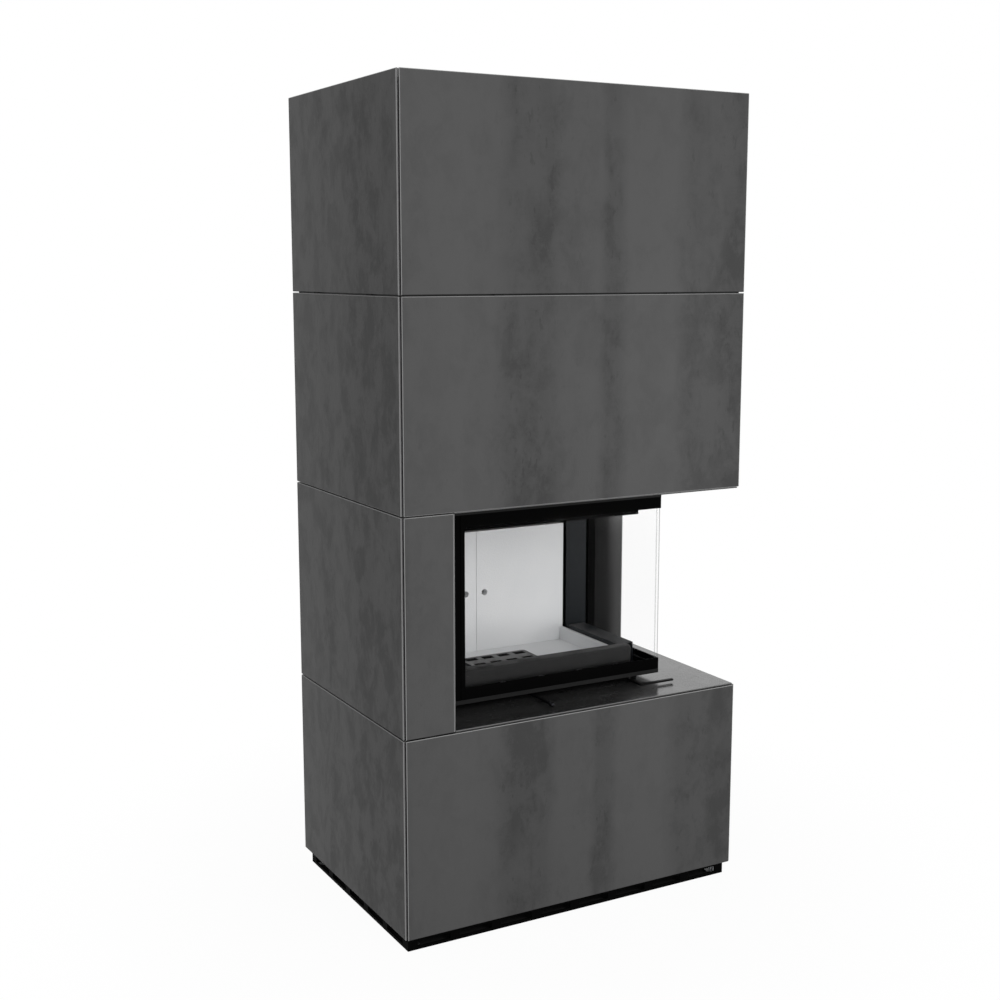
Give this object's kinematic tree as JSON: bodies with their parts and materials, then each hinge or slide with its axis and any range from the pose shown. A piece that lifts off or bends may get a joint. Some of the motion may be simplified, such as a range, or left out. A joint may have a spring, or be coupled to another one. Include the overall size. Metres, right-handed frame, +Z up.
{
  "type": "fireplace insert",
  "caption": "Free-standing fireplace tower clad in dark slabs, with a corner-glazed insert in its niche: side-hinged front door, fixed side pane, lined chamber, air control and flue.",
  "frame": {"origin": "on the floor under the middle of the tower's footprint", "axes": "+Z up, -Y out of the front where the door is, +X to the right as seen from the front, the glazed side"},
  "size_m": [0.963, 0.646, 2.03],
  "materials": {
    "cladding": "matt, fired",
    "black_steel": "matt heat-proof paint",
    "trim_steel": "satin heat-proof paint",
    "galvanised_steel": "galvanised",
    "bright_steel": "plain",
    "knob_steel": "brushed",
    "fireboard": "pressed vermiculite, matt",
    "baffle_board": "sooted vermiculite, matt",
    "cast_iron": "as cast, blacked",
    "pane": "clear ceramic glass",
    "rope_seal": "woven glass-fibre rope",
    "spacer_pad": "matt"
  },
  "bodies": {
    "fixed": {"left_base_slab": "cladding", "left_niche_slab": "cladding", "left_middle_slab": "cladding", "left_top_slab": "cladding", "front_base_slab": "cladding", "front_pilaster_slab": "cladding", "front_middle_slab": "cladding", "front_top_slab": "cladding", "right_base_slab": "cladding", "right_pilaster_slab": "cladding", "right_middle_slab": "cladding", "right_top_slab": "cladding", "niche_floor_slab": "cladding", "niche_soffit_slab": "cladding", "niche_cheek_slab": "cladding", "niche_rear_slab": "cladding", "plinth_walls": "black_steel", "top_grille": "black_steel", "side_rails": "black_steel", "side_rear_post": "black_steel", "firebox_base": "black_steel", "hearth_plate": "black_steel", "firebox_walls": "black_steel", "firebox_top_plate": "black_steel", "smoke_hood": "black_steel", "flue_pipe": "black_steel", "side_air_duct": "black_steel", "air_wash_profile": "black_steel", "frame_rails": "black_steel", "frame_posts": "black_steel", "side_trims": "trim_steel", "hinge_brackets": "trim_steel", "rear_panels": "galvanised_steel", "insert_legs": "galvanised_steel", "levelling_feet": "galvanised_steel", "rear_panel_screws": "bright_steel", "side_glass_clips": "bright_steel", "hearth_board": "fireboard", "back_lining_left": "fireboard", "back_lining_right": "fireboard", "left_lining": "fireboard", "side_curb": "fireboard", "baffle_plate": "baffle_board", "side_glass": "pane", "joint_spacers": "spacer_pad"},
    "door": {"hinge_pins": "bright_steel", "door_trims": "trim_steel", "door_bottom_rail": "black_steel", "door_top_rail": "black_steel", "door_stile": "black_steel", "door_stile_cover": "black_steel", "front_glass": "pane", "glass_clips": "bright_steel", "door_seal": "rope_seal"},
    "handle": {"door_handle": "trim_steel"},
    "air_control": {"air_slide": "bright_steel", "air_knob": "knob_steel"},
    "grate": {"grate": "cast_iron"},
    "ash_pan": {"ash_pan": "black_steel"},
    "log_guard": {"front_log_guard": "cast_iron"}
  },
  "joints": [
    {"name": "door_swing", "type": "hinge", "parent": "fixed", "child": "door", "pos_m": [-0.3115, -0.175, 0.784], "axis": [0, 0, -1], "range_deg": [0, 90]},
    {"name": "handle_turn", "type": "hinge", "parent": "door", "child": "handle", "pos_m": [0.2415, -0.1795, 0.545], "axis": [0, 0, -1], "range_deg": [0, 35]},
    {"name": "air_slide_travel", "type": "slide", "parent": "fixed", "child": "air_control", "axis": [1, 0, 0], "range_m": [-0.03, 0.03]},
    {"name": "grate_lift", "type": "slide", "parent": "fixed", "child": "grate", "axis": [0, 0, 1], "range_m": [0, 0.06]},
    {"name": "ash_pan_lift", "type": "slide", "parent": "fixed", "child": "ash_pan", "axis": [0, 0, 1], "range_m": [0, 0.06]},
    {"name": "log_guard_lift", "type": "slide", "parent": "fixed", "child": "log_guard", "axis": [0, 0, 1], "range_m": [0, 0.05]}
  ],
  "couplings": [
    {"joint": "ash_pan_lift", "follows": "grate_lift", "ratio": 1}
  ]
}
